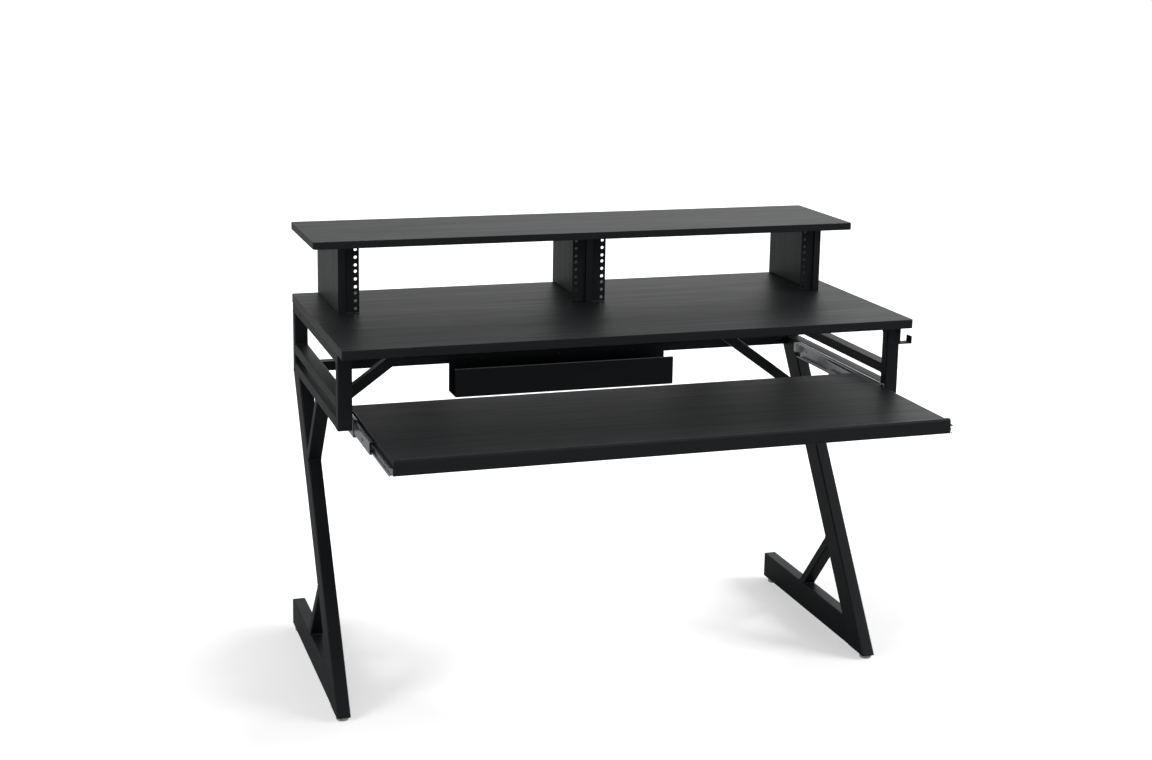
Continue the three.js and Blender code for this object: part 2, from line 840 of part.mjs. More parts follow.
// A ball cage: a channel of thin strip, with a row of balls held in each arm.
function cageMesh(name, webU, ballU, ballV, side) {
  const { cageSheet, cageLength, ballRadius, ballsInRow } = slide;
  const armEnd = ballU + ballRadius / 2;
  const upper = [new THREE.Vector2(armEnd, ballV), new THREE.Vector2(webU, ballV)];
  const channel = extrudeBack(sectionShape(upper, cageSheet, side), cageLength);
  const balls = [];
  for (let i = 0; i < ballsInRow; i += 1) {
    for (const v of [ballV, -ballV]) {
      const ball = new THREE.SphereGeometry(ballRadius, 8, 6);
      ball.translate(-side * ballU, ((i + 1 / 2) * cageLength) / ballsInRow, v);
      balls.push(ball);
    }
  }
  return makeMesh(name, addAll(channel, balls), ballSteel);
}

function buildSlide(sideName, side) {
  const { length, middleShorter, guideLength, stopLength, sheet, running, across } = slide;
  const railFaceX = side * (frameInnerX - seam);
  const innerTabHigh = 2 * slide.tabShare * (innerBallV - raceway);
  const inner = memberMesh(
    `slide_inner_${sideName}`,
    innerSection(side),
    length,
    holeShares,
    slotShares,
    endTab(side, slide.innerBallAcross, innerWebU, innerTabHigh, 0),
  );
  const middle = memberMesh(
    `slide_middle_${sideName}`,
    middleSection(side),
    length - middleShorter,
    [],
    slotShares,
  );
  const outerTabHigh = 2 * slide.tabShare * (outerBallV - slide.ballRadius);
  const outer = memberMesh(
    `slide_outer_${sideName}`,
    outerSection(side),
    length,
    holeShares,
    slotShares,
    endTab(side, outerWebU, innerCageU, outerTabHigh, length - sheet),
  );
  const outerCage = cageMesh(
    `ball_cage_outer_${sideName}`,
    outerCageU,
    slide.outerBallAcross,
    outerBallV,
    side,
  );
  const innerCage = cageMesh(
    `ball_cage_inner_${sideName}`,
    innerCageU,
    slide.innerBallAcross,
    innerBallV,
    side,
  );

  // Each member stands forward of its shut place by its share of the tray's travel.
  const cageShut = slideFrontShutY + cageStartShare * length;
  const place = (mesh, shutY, travelShare) =>
    mesh.position.set(railFaceX, shutY - travelShare * tray.pulledOut, slideMiddleZ);
  place(outer, slideFrontShutY, 0);
  place(outerCage, cageShut, 1 / 4);
  place(middle, slideFrontShutY + middleShorter / 2, 1 / 2);
  place(innerCage, cageShut, 3 / 4);
  place(inner, slideFrontShutY, 1);

  // The black guide clips over the middle member's web at its front end.
  const guideU = middleWebU + sheet / 2 + running;
  const guideHeight = 2 * (innerBallV - slide.ballRadius - running - 2 * sheet);
  const guideShape = rectangleShape(innerWebU - sheet / 2 - running - guideU, guideHeight, sheet);
  const guide = makeMesh(
    `slide_guide_${sideName}`,
    extrudeBack(guideShape, guideLength),
    blackPlastic,
  );
  guide.position.set(
    railFaceX - side * ((guideU + innerWebU - sheet / 2 - running) / 2),
    slideFrontShutY + middleShorter / 2 - tray.pulledOut / 2,
    slideMiddleZ,
  );

  // The white stop sits across the outer member's rear end.
  const stopShape = rectangleShape(across - sheet - 2 * running, slide.stopHeight, sheet);
  const stop = makeMesh(
    `slide_stop_${sideName}`,
    extrudeBack(stopShape, stopLength),
    whitePlastic,
  );
  stop.position.set(
    railFaceX - side * ((across + sheet) / 2),
    slideRearShutY + seam,
    slideMiddleZ,
  );
  return [outer, outerCage, middle, innerCage, inner, guide, stop];
}

desk.add(buildDesktop(), ...buildRiser(), ...buildRackAngles());
desk.add(...buildCrossTubes(), buildCableTray(), buildHook(), ...buildGlides(), ...buildTray());
for (const [sideName, side] of [["left", -1], ["right", 1]]) {
  desk.add(...buildSideFrame(sideName, side), ...buildPlugs(sideName, side));
  desk.add(buildKneeBrace(sideName, side), ...buildSlide(sideName, side));
}

// The origin goes to the middle of the whole box's underside.
const box = new THREE.Box3().setFromObject(desk, true);
const middle = box.getCenter(new THREE.Vector3());
desk.position.set(-middle.x, -middle.y, -box.min.z);

export default desk;
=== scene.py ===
import json
from math import ceil, radians, sqrt, tau
import bmesh
import bpy
from mathutils import Matrix, Vector


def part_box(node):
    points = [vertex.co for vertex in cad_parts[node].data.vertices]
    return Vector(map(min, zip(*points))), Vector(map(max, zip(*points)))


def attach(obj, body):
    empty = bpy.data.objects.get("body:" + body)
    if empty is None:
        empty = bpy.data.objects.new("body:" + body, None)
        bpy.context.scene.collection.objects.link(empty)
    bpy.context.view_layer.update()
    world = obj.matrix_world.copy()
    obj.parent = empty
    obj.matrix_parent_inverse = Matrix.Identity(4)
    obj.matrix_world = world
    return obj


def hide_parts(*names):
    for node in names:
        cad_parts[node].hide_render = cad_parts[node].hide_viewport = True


# Studio desk: black woodgrain boards on welded black steel frames, with a keyboard tray on
# ball-bearing slides. Metres, +X right, +Y back, +Z up, the floor at z = 0.

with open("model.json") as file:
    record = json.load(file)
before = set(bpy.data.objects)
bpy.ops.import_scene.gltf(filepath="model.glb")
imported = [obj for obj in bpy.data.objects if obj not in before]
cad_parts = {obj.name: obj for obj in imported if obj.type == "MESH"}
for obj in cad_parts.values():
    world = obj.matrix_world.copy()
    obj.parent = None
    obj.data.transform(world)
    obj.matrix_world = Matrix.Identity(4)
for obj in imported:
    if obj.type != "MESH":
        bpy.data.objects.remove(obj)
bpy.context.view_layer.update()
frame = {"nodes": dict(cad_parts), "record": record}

RECORD = frame["record"]
BODY_OF = {node: body for body, nodes in RECORD["behaviour"]["bodies"].items() for node in nodes}
SLOT_OF = {part["node"]: part["material_slot"] for part in RECORD["subparts"]}
MM = 0.001
NEAR = MM / 100  # two places closer than this are the same place
SIDES = {"left": -1, "right": 1}
X_AXIS = Vector((1, 0, 0))
Y_AXIS = Vector((0, 1, 0))
Z_AXIS = Vector((0, 0, 1))

# Camera

CAMERA_PLACE = (-1.191, -3.354, 1.515)
CAMERA_YAW = 18.35
CAMERA_PITCH = 11.05
CAMERA_ROLL = 0.98
CAMERA_LENS = 56.2
CAMERA_SHIFT = -0.08


def place_camera():
    camera = bpy.data.cameras.new("camera")
    camera.sensor_width = 36
    camera.lens = CAMERA_LENS
    camera.shift_y = CAMERA_SHIFT
    camera.clip_end = 60
    stand = bpy.data.objects.new("camera", camera)
    bpy.context.scene.collection.objects.link(stand)
    turn = Matrix.Rotation(radians(-CAMERA_YAW), 4, "Z")
    tilt = Matrix.Rotation(radians(90 - CAMERA_PITCH), 4, "X")
    roll = Matrix.Rotation(radians(CAMERA_ROLL), 4, "Z")
    stand.matrix_world = Matrix.Translation(CAMERA_PLACE) @ turn @ tilt @ roll
    bpy.context.scene.camera = stand


# Materials

MIX_COLOURS = (6, 7)  # where a colour mix node has its two colours
MIX_RESULT = 2


def combined(tree, operation, first, second):
    made = tree.nodes.new("ShaderNodeMath")
    made.operation = operation
    tree.links.new(first, made.inputs[0])
    tree.links.new(second, made.inputs[1])
    return made.outputs["Value"]


def ranged(tree, value, low, high, start=0.0, end=1.0):
    """The value, from start to end, spread from low to high."""
    level = tree.nodes.new("ShaderNodeMapRange")
    level.inputs["From Min"].default_value = start
    level.inputs["From Max"].default_value = end
    level.inputs["To Min"].default_value = low
    level.inputs["To Max"].default_value = high
    tree.links.new(value, level.inputs["Value"])
    return level.outputs["Result"]


class Finish:
    """A material with its Principled shader, and short calls that add and join nodes."""

    def __init__(self, name):
        self.material = bpy.data.materials.new(name)
        self.material.use_nodes = True
        self.tree = self.material.node_tree
        self.shader = self.tree.nodes["Principled BSDF"]
        self.place = self.node("ShaderNodeTexCoord").outputs["Object"]

    def node(self, kind, **settings):
        made = self.tree.nodes.new(kind)
        for name, value in settings.items():
            setattr(made, name, value)
        return made

    def feed(self, socket, source):
        """Joins an output to one of the shader's own inputs."""
        self.tree.links.new(source, self.shader.inputs[socket])

    def set(self, **values):
        for name, value in values.items():
            self.shader.inputs[name.replace("_", " ")].default_value = value

    def stretched(self, scale):
        mapping = self.node("ShaderNodeMapping")
        self.tree.links.new(self.place, mapping.inputs["Vector"])
        mapping.inputs["Scale"].default_value = scale
        return mapping.outputs["Vector"]

    def noise(self, vector, scale, detail=3, roughness=0.5, distortion=0):
        made = self.node("ShaderNodeTexNoise")
        self.tree.links.new(vector, made.inputs["Vector"])
        made.inputs["Scale"].default_value = scale
        made.inputs["Detail"].default_value = detail
        made.inputs["Roughness"].default_value = roughness
        made.inputs["Distortion"].default_value = distortion
        return made.outputs["Fac"]

    def span(self, value, low, high, start=0.3, end=0.7):
        """As ranged does it, over the middle of a noise if nothing else is said."""
        return ranged(self.tree, value, low, high, start, end)

    def maths(self, operation, first, second):
        return combined(self.tree, operation, first, second)

    def blend(self, share, dark, light):
        made = self.node("ShaderNodeMix", data_type="RGBA")
        self.tree.links.new(share, made.inputs["Factor"])
        for slot, colour in zip(MIX_COLOURS, (dark, light)):
            made.inputs[slot].default_value = (*colour, 1)
        return made.outputs[MIX_RESULT]

    def emboss(self, height, depth, strength, under=None):
        made = self.node("ShaderNodeBump")
        made.inputs["Distance"].default_value = depth
        made.inputs["Strength"].default_value = strength
        self.tree.links.new(height, made.inputs["Height"])
        if under is not None:
            self.tree.links.new(under, made.inputs["Normal"])
        return made.outputs["Normal"]


COOL_SHEEN = (0.89, 0.96, 1, 1)  # the faint blue of the black surfaces' sheen
BOARD_SHEEN = 0.24
COAT_SHEEN = 0.16


def grain_scale(along, run, across):
    """Cycles for each metre: few along the grain's axis, many across it."""
    return tuple(run if axis == along else across for axis in "XYZ")


def laminate(name, along, dark, pale, rough, pore_depth, sheen=BOARD_SHEEN):
    """Black woodgrain: broad growth bands, streaks and fine pores, all drawn out along one axis."""
    finish = Finish(name)
    wander = finish.noise(finish.stretched(grain_scale(along, 1.1, 9)), 1, 2, 0.5, 0.6)
    streaks = finish.noise(finish.stretched(grain_scale(along, 3, 120)), 1, 4, 0.6, 0.3)
    pores = finish.noise(finish.stretched(grain_scale(along, 26, 900)), 1, 3, 0.55)
    bands = finish.maths("MULTIPLY", finish.span(wander, 0.3, 1, 0.25, 0.75), streaks)
    shade = finish.maths("MULTIPLY", finish.span(bands, 0, 1, 0.1, 0.6), finish.span(pores, 0.6, 1))
    finish.feed("Base Color", finish.blend(shade, dark, pale))
    gloss = finish.span(pores, rough + 0.05, rough)
    finish.feed("Roughness", finish.maths("ADD", finish.span(streaks, -0.05, 0.05), gloss))
    relief = finish.emboss(streaks, pore_depth, 0.35)
    finish.feed("Normal", finish.emboss(pores, pore_depth, 0.6, under=relief))
    finish.set(Specular_IOR_Level=sheen, Specular_Tint=COOL_SHEEN)
    return finish.material


def powder_coat(name):
    """Satin black powder coat: orange peel, fine grit and a slow change of sheen."""
    finish = Finish(name)
    cloud = finish.noise(finish.place, 7, 3)
    peel = finish.noise(finish.place, 420, 2, 0.4)
    grit = finish.noise(finish.place, 2600, 2, 0.6)
    shade = finish.maths("ADD", finish.span(cloud, 0, 0.6), finish.span(grit, 0, 0.4))
    finish.feed("Base Color", finish.blend(shade, (0.0072, 0.008, 0.0089), (0.0138, 0.0152, 0.017)))
    gloss = finish.span(cloud, 0.42, 0.5)
    finish.feed("Roughness", finish.maths("ADD", gloss, finish.span(grit, -0.03, 0.04)))
    relief = finish.emboss(peel, 0.05 * MM, 0.5)
    finish.feed("Normal", finish.emboss(grit, 0.03 * MM, 0.6, under=relief))
    finish.set(Specular_IOR_Level=COAT_SHEEN, Specular_Tint=COOL_SHEEN)
    return finish.material


def bare_metal(name, dark, light, rough, streak_run):
    """Plated or polished steel, drawn along Y, with faint cloudy plating."""
    finish = Finish(name)
    cloud = finish.noise(finish.place, 60, 4, 0.6)
    streaks = finish.noise(finish.stretched((2200, streak_run, 2200)), 1, 2)
    shade = finish.maths("ADD", finish.span(cloud, 0, 0.7), finish.span(streaks, 0, 0.3))
    finish.feed("Base Color", finish.blend(shade, dark, light))
    gloss = finish.span(cloud, rough - 0.06, rough + 0.06)
    finish.feed("Roughness", finish.maths("ADD", gloss, finish.span(streaks, -0.04, 0.04)))
    finish.feed("Normal", finish.emboss(streaks, 0.02 * MM, 0.4))
    finish.set(Metallic=1.0)
    return finish.material


def black_oxide(name):
    """Blackened screw steel: dark grey metal with an oily sheen."""
    finish = Finish(name)
    cloud = finish.noise(finish.place, 260, 3, 0.6)
    finish.feed("Base Color", finish.blend(cloud, (0.03, 0.03, 0.032), (0.06, 0.06, 0.063)))
    finish.feed("Roughness", finish.span(cloud, 0.36, 0.5))
    finish.set(Metallic=0.9)
    return finish.material


def moulded_plastic(name, dark, light, rough):
    """Moulded plastic with a fine spark-eroded surface."""
    finish = Finish(name)
    cloud = finish.noise(finish.place, 35, 2)
    grit = finish.noise(finish.place, 1900, 2, 0.6)
    finish.feed("Base Color", finish.blend(cloud, dark, light))
    finish.feed("Roughness", finish.span(grit, rough - 0.05, rough + 0.07))
    finish.feed("Normal", finish.emboss(grit, 0.04 * MM, 0.5))
    return finish.material


BOARD_TONES = ((0.0043, 0.0047, 0.0052), (0.0107, 0.0116, 0.0126))
BAND_TONES = ((0.0072, 0.0077, 0.0083), (0.0117, 0.0125, 0.0133))
BOARD_ROUGH = 0.44
UPRIGHT_SHEEN = 0.5  # the upright boards are glossier
BAND_ROUGH = 0.4
BOARD_PORE = 0.08 * MM
BAND_PORE = 0.03 * MM


def make_finishes():
    return {
        "laminate": laminate("laminate_lengthwise", "X", *BOARD_TONES, BOARD_ROUGH, BOARD_PORE),
        "laminate_upright": laminate(
            "laminate_upright", "Z", *BOARD_TONES, BOARD_ROUGH, BOARD_PORE, UPRIGHT_SHEEN,
        ),
        "edge_band": laminate("edge_band", "X", *BAND_TONES, BAND_ROUGH, BAND_PORE),
        "edge_band_upright": laminate("edge_band_upright", "Z", *BAND_TONES, BAND_ROUGH, BAND_PORE),
        "powder_coat": powder_coat("powder_coat"),
        "black_oxide": black_oxide("black_oxide"),
        "zinc_steel": bare_metal("zinc_steel", (0.33, 0.34, 0.36), (0.5, 0.52, 0.54), 0.32, 12),
        "ball_steel": bare_metal("ball_steel", (0.66, 0.67, 0.68), (0.76, 0.77, 0.78), 0.14, 40),
        "black_plastic": moulded_plastic(
            "black_plastic", (0.012, 0.012, 0.013), (0.018, 0.018, 0.019), 0.45,
        ),
        "white_plastic": moulded_plastic("white_plastic", (0.84, 0.84, 0.82), (0.9, 0.9, 0.89), 0.4),
        "pale_plastic": moulded_plastic("pale_plastic", (0.46, 0.455, 0.44), (0.56, 0.55, 0.53), 0.5),
    }


# Mesh helpers

ROUND_ANGLE = 38  # degrees: facets that meet at less than this are one curved surface
FLAT_ANGLE = 1  # degrees: and at less than this, one flat face
DOUBLE = 0.02 * MM  # two corners of a CAD mesh closer than this are one


def finish_piece(name, work, finishes, body, replaced=None):
    """Makes a piece from a bmesh: smooth curves, flat flats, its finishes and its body."""
    mesh = bpy.data.meshes.new(name)
    work.to_mesh(mesh)
    work.free()
    for material in finishes:
        mesh.materials.append(FINISH[material])
    mesh.shade_smooth()
    mesh.set_sharp_from_angle(angle=radians(ROUND_ANGLE))
    piece = bpy.data.objects.new(name, mesh)
    bpy.context.scene.collection.objects.link(piece)
    flats = piece.modifiers.new("flats", "WEIGHTED_NORMAL")
    flats.keep_sharp = True
    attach(piece, body)
    if replaced:
        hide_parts(replaced)
    return piece


def add_box(work, low, high):
    size = high - low
    made = bmesh.ops.create_cube(work, size=1)["verts"]
    bmesh.ops.scale(work, vec=size, verts=made)
    bmesh.ops.translate(work, vec=(low + high) / 2, verts=made)
    return made


def bevel_edges(work, edges, radius, segments):
    bmesh.ops.bevel(
        work, geom=edges, offset=radius, offset_type="OFFSET", segments=segments, profile=0.5,
        affect="EDGES", clamp_overlap=True, material=-1,
    )


def edges_where(work, test):
    return [edge for edge in work.edges if test(edge.verts[0].co, edge.verts[1].co)]


def fold_angle(edge):
    """The angle in degrees between an edge's two faces."""
    return edge.calc_face_angle(0) * 360 / tau if len(edge.link_faces) == 2 else 0


def clean_copy(node):
    """A copy of a CAD node's mesh, its doubles merged and its flat facets joined."""
    work = bmesh.new()
    work.from_mesh(frame["nodes"][node].data)
    bmesh.ops.remove_doubles(work, verts=work.verts, dist=DOUBLE)
    bmesh.ops.dissolve_limit(
        work, angle_limit=radians(FLAT_ANGLE), verts=work.verts, edges=work.edges,
    )
    return work


def shape_mesh(name, work):
    """Keeps a small bmesh as a shape that can be stamped in many places."""
    mesh = bpy.data.meshes.new(name)
    work.to_mesh(mesh)
    work.free()
    return mesh


def stamp(work, shape, matrix):
    """Adds a copy of a shape to a bmesh, at its place."""
    count = len(work.verts)
    work.from_mesh(shape)
    work.verts.ensure_lookup_table()
    bmesh.ops.transform(work, matrix=matrix, verts=work.verts[count:])


def facing(place, direction):
    """The matrix that puts a shape at a place with its own +Z along a direction."""
    turn = Vector(direction).to_track_quat("Z", "Y").to_matrix().to_4x4()
    return Matrix.Translation(place) @ turn


def middle(node):
    low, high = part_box(node)
    return (low + high) / 2


# Boards

BAND_RING = 0.7 * MM  # how much of a board's face the edge band's own thickness takes


def board(node, corner, easing, axis="Z", finishes=("laminate", "edge_band")):
    """A laminated board: rounded corners, eased edges, and an edge band on all its narrow faces."""
    low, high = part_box(node)
    work = bmesh.new()
    add_box(work, low, high)
    k = "XYZ".index(axis)
    if corner:
        uprights = edges_where(work, lambda p, q: abs(p[k] - q[k]) > (high[k] - low[k]) / 2)
        bevel_edges(work, uprights, corner, 8)
    for level in (low[k], high[k]):
        rim = edges_where(work, lambda p, q: abs(p[k] - level) < NEAR and abs(q[k] - level) < NEAR)
        bevel_edges(work, rim, easing, 3)
    work.normal_update()
    faces = [face for face in work.faces if abs(face.normal[k]) > 0.99]
    bmesh.ops.inset_individual(work, faces=faces, thickness=BAND_RING)
    wide = set(sorted(work.faces, key=lambda face: face.calc_area())[-2:])
    for face in work.faces:
        face.material_index = 0 if face in wide else 1
    return finish_piece(f"{node}_board", work, finishes, BODY_OF[node], node)


def make_boards():
    board("desktop", 6 * MM, 1 * MM)
    board("riser_shelf", 6.8 * MM, 0.8 * MM)
    board("keyboard_tray", 0, 1 * MM)
    for node in ("riser_side_left", "riser_divider", "riser_side_right"):
        board(node, 0, 0.8 * MM, "X", ("laminate_upright", "edge_band_upright"))


LIP_ROUND = 5 * MM
LIP_EASE = 2.5 * MM


def make_tray_lip():
    """The raised front strip of the tray, with its top edge rounded over."""
    low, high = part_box("tray_front_lip")
    work = bmesh.new()
    add_box(work, low, high)
    for y, z, radius in (
        (low.y, high.z, LIP_ROUND),
        (low.y, low.z, LIP_EASE),
        (high.y, high.z, LIP_EASE),
    ):
        line = edges_where(
            work,
            lambda p, q: all(abs(v.y - y) < NEAR and abs(v.z - z) < NEAR for v in (p, q)),
        )
        bevel_edges(work, line, radius, 6)
    return finish_piece("tray_lip_strip", work, ["edge_band"], "tray", "tray_front_lip")


# Steel pieces that keep their CAD shape, with rounder corners, holes and folds

SLIVER = NEAR / 10  # two points of a bevel closer than this are one
TUBE_CORNER = 0.55 * MM  # how far each facet line of a tube's rounded corner is eased
HOLE_CORNER = 1 * MM  # the same for a punched hole, as far as its steps allow
LONG_EDGE = 10 * MM
# By how many degrees two faces turn where they meet
TUBE_FACETS = (15, 50)
HOLE_FACETS = (12, 48)
SHEET_FOLD = 80
SHARP_EDGE = 60


def facet_line(edge, turn):
    return turn[0] < fold_angle(edge) < turn[1]


def rounder_corners(work):
    """Eases the facet lines along a tube's rounded corners, so that they read as one curve."""
    lines = [e for e in work.edges if facet_line(e, TUBE_FACETS) and e.calc_length() > LONG_EDGE]
    bevel_edges(work, lines, TUBE_CORNER, 2)


def rounder_holes(work, reach):
    """Rounds punched holes: reach is longer than one step of a hole's wall is wide."""
    steps = [e for e in work.edges if facet_line(e, HOLE_FACETS) and e.calc_length() <= reach]
    bevel_edges(work, steps, HOLE_CORNER, 2)


def rounder_folds(work, sheet, inside):
    """Gives each fold of a bent sheet its radius, and leaves the sheet's cut edges sharp."""
    outer, inner = [], []
    for edge in work.edges:
        if fold_angle(edge) > SHEET_FOLD and edge.calc_length() > LONG_EDGE:
            strips = [face.calc_area() / edge.calc_length() for face in edge.link_faces]
            if min(strips) > 1.5 * sheet:
                (outer if edge.is_convex else inner).append(edge)
    bevel_edges(work, outer, inside + sheet, 5)
    inner = [edge for edge in inner if edge.is_valid]
    bevel_edges(work, inner, inside, 3)


def ease_edges(work, radius):
    sharp = [edge for edge in work.edges if fold_angle(edge) > SHARP_EDGE]
    bevel_edges(work, sharp, radius, 2)


def carry_over(node, *changes):
    """A clean copy of a node, finished by the changes given: each is a function of the bmesh."""
    work = clean_copy(node)
    for change in changes:
        change(work)
        bmesh.ops.remove_doubles(work, verts=work.verts, dist=SLIVER)
    slot = SLOT_OF[node]
    return finish_piece(f"{node}_piece", work, [slot], BODY_OF[node], node)


PLAIN_TUBES = ["front_cross_rail", "rear_cross_rail", "rear_stretcher"]
SIDE_TUBES = [
    "top_rail", "mid_rail", "lower_rail", "front_post", "rear_post", "leg",
    "upper_brace", "lower_brace", "foot_beam", "knee_brace",
]
CAP_ROUND = 2.2 * MM  # the plugs in the tubes' rear ends are rounded by this


def domed_end(work):
    """Rounds the rim of the face that a tube's plug turns to the back."""
    rear = max(vertex.co.y for vertex in work.verts)
    rim = edges_where(work, lambda p, q: rear - p.y < NEAR and rear - q.y < NEAR)
    bevel_edges(work, rim, CAP_ROUND, 4)


def make_frame():
    for node in PLAIN_TUBES:
        carry_over(node, rounder_corners)
    for side in SIDES:
        for node in SIDE_TUBES:
            carry_over(f"{node}_{side}", rounder_corners)
        for node in ("beam_cap", "rail_cap"):
            carry_over(f"{node}_{side}", domed_end)


SHEETS = {"rack_angle": 2 * MM, "cable_tray": 1.5 * MM, "headphone_hook": 3 * MM}
FOLD_INSIDE = {"rack_angle": 1 * MM, "cable_tray": 1 * MM, "headphone_hook": 2 * MM}
RACK_HOLE_STEP = 2.2 * MM
SLIDE_HOLE_STEP = 1.3 * MM
SOFT_EDGE = 0.4 * MM


def folded(sheet):
    return lambda work: rounder_folds(work, SHEETS[sheet], FOLD_INSIDE[sheet])


def rack_holes(work):
    rounder_holes(work, RACK_HOLE_STEP)


def slide_holes(work):
    rounder_holes(work, SLIDE_HOLE_STEP)


def soft_edges(work):
    ease_edges(work, SOFT_EDGE)


def make_sheet_metal():
    for bay in SIDES:
        for side in SIDES:
            carry_over(f"rack_angle_{bay}_bay_{side}", rack_holes, folded("rack_angle"))
    carry_over("cable_tray", folded("cable_tray"))
    carry_over("headphone_hook", folded("headphone_hook"), soft_edges)


# Welds

RIPPLE = 1.6 * MM  # from one ripple of a bead to the next
BEAD = 2.1 * MM  # a bead's radius
DRESSED = 0.3 * MM  # how proud a ground weld stands on a flush face
BEAD_END_SHARE = 0.45  # of its radius, at its ends
RIPPLE_SHARE = 0.86  # and between two ripples


def bead_shape(length, radius):
    """A rippled rod along Z from 0 to its length, drawn in at its ends."""
    steps = 2 * max(2, ceil(length / RIPPLE))
    work = bmesh.new()
    bmesh.ops.create_cone(
        work, cap_ends=True, segments=8, radius1=radius, radius2=radius, depth=length,
    )
    bmesh.ops.translate(work, vec=(0, 0, length / 2), verts=work.verts)
    lines = edges_where(work, lambda p, q: abs(p.z - q.z) > length / 2)
    bmesh.ops.subdivide_edges(work, edges=lines, cuts=steps - 1, use_grid_fill=True)
    for vertex in work.verts:
        step = round(vertex.co.z / length * steps)
        share = RIPPLE_SHARE if step % 2 else 1
        if step in (0, steps):
            share = BEAD_END_SHARE
        vertex.co.x *= share
        vertex.co.y *= share
    return shape_mesh("bead", work)


def weld(work, start, end, radius=BEAD, across=None):
    """One bead from start to end. A dressed bead is flattened along across, a face's normal."""
    run = end - start
    along = run.normalized()
    side = across or along.orthogonal()
    turn = Matrix((side, along.cross(side), along)).transposed().to_4x4()
    flat = Matrix.Scale(DRESSED / radius if across else 1, 4, X_AXIS)
    shape = bead_shape(run.length, radius)
    stamp(work, shape, Matrix.Translation(start) @ turn @ flat)
    bpy.data.meshes.remove(shape)


def weld_joint(work, outer_x, inner_x, start, end, corners):
    """
    The weld round a joint of two tubes of a side frame: dressed flat on the frame's two flush
    faces, and a full bead across the tube at each end of the joint that is an inside corner.
    """
    for x in (outer_x, inner_x):
        weld(work, Vector((x, *start)), Vector((x, *end)), BEAD, X_AXIS)
    for corner, (y, z) in zip(corners, (start, end)):
        if corner:
            trim = MM if outer_x > inner_x else -MM
            weld(work, Vector((inner_x + trim, y, z)), Vector((outer_x - trim, y, z)))


# How the slanted tubes run, as in the CAD
LEG_LEAN = 0.68  # back for each unit up
UPPER_BRACE = {"run": 0.742, "depth": 20 * MM}  # its run is back for each unit down
LOWER_BRACE = {"run": -0.85, "depth": 20 * MM}  # its run is back for each unit up
KNEE_RISE = 0.73  # up for each unit in
KNEE_DEPTH = 22 * MM
KNEE_BEAD = 1.5 * MM


def side_frame_joints(side):
    """Each welded joint of a side frame: its two ends in (y, z), and which are inside corners."""
    box = {node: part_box(f"{node}_{side}") for node in SIDE_TUBES}
    front, rear = box["front_post"][1].y, box["rear_post"][0].y
    top, mid, low_rail = box["top_rail"], box["mid_rail"], box["lower_rail"]
    leg_low, leg_high = box["leg"]
    leg_run = (leg_high.y - leg_low.y) - (leg_high.z - leg_low.z) * LEG_LEAN

    def leg_front(z):
        return leg_low.y + (z - leg_low.z) * LEG_LEAN

    def leg_rear(z):
        return leg_front(z) + leg_run

    def along_brace(start, run, down, face):
        """Where a line down or up from start meets a face of the leg."""
        y, z = start
        step = (face(z) - y) / (run + down * LEG_LEAN)
        return (y + run * step, z - down * step)

    under = low_rail[0].z
    joints = [
        ((box["front_post"][0].y, top[0].z), (front, top[0].z), (False, True)),
        ((rear, top[0].z), (box["rear_post"][1].y, top[0].z), (True, False)),
        ((front, low_rail[0].z), (front, low_rail[1].z), (False, True)),
        ((rear, low_rail[0].z), (rear, low_rail[1].z), (False, True)),
        ((leg_front(under), under), (leg_high.y, under), (True, False)),
    ]
    for y in (front, rear):
        joints.append(((y, mid[0].z), (y, mid[1].z), (True, True)))

    high_z = box["upper_brace"][1].z
    first = box["upper_brace"][0].y
    second = first + UPPER_BRACE["depth"] * sqrt(1 + UPPER_BRACE["run"] ** 2)
    upper = [(first, high_z), (second, high_z)]
    joints.append((*upper, (True, True)))
    joints.append((*(along_brace(p, UPPER_BRACE["run"], 1, leg_front) for p in upper), (True, True)))

    low_z = box["lower_brace"][0].z
    second = box["lower_brace"][1].y
    first = second - LOWER_BRACE["depth"] * sqrt(1 + LOWER_BRACE["run"] ** 2)
    lower = [(first, low_z), (second, low_z)]
    joints.append((*lower, (True, True)))
    joints.append((*(along_brace(p, LOWER_BRACE["run"], -1, leg_rear) for p in lower), (True, True)))

    beam_low, beam_high = box["foot_beam"]
    joints.append(
        ((leg_rear(beam_high.z), beam_high.z), (leg_rear(beam_low.z), beam_low.z), (True, False))
    )
    return joints


def weld_loop(work, corners, radius):
    for start, end in zip(corners, corners[1:] + corners[:1]):
        weld(work, start, end, radius)


def weld_knee_brace(work, side, sign):
    """A bead round each end of a knee brace: on the leg, and under the rear cross rail."""
    low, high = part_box(f"knee_brace_{side}")
    upright = KNEE_DEPTH * sqrt(1 + KNEE_RISE ** 2)
    level = upright / KNEE_RISE
    leg_x, tip_x = (high.x, low.x) if sign > 0 else (low.x, high.x)
    weld_loop(
        work,
        [Vector((leg_x, y, z)) for y, z in (
            (low.y, low.z), (high.y, low.z), (high.y, low.z + upright), (low.y, low.z + upright),
        )],
        KNEE_BEAD,
    )
    heel_x = tip_x + sign * level
    weld_loop(
        work,
        [Vector((x, y, high.z)) for x, y in (
            (tip_x, low.y), (tip_x, high.y), (heel_x, high.y), (heel_x, low.y),
        )],
        KNEE_BEAD,
    )


def make_welds():
    for side, sign in SIDES.items():
        work = bmesh.new()
        low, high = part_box(f"top_rail_{side}")
        outer_x, inner_x = (high.x, low.x) if sign > 0 else (low.x, high.x)
        for start, end, corners in side_frame_joints(side):
            weld_joint(work, outer_x, inner_x, start, end, corners)
        weld_knee_brace(work, side, sign)
        finish_piece(f"welds_{side}", work, ["powder_coat"], "desk")


# Bolts and screws

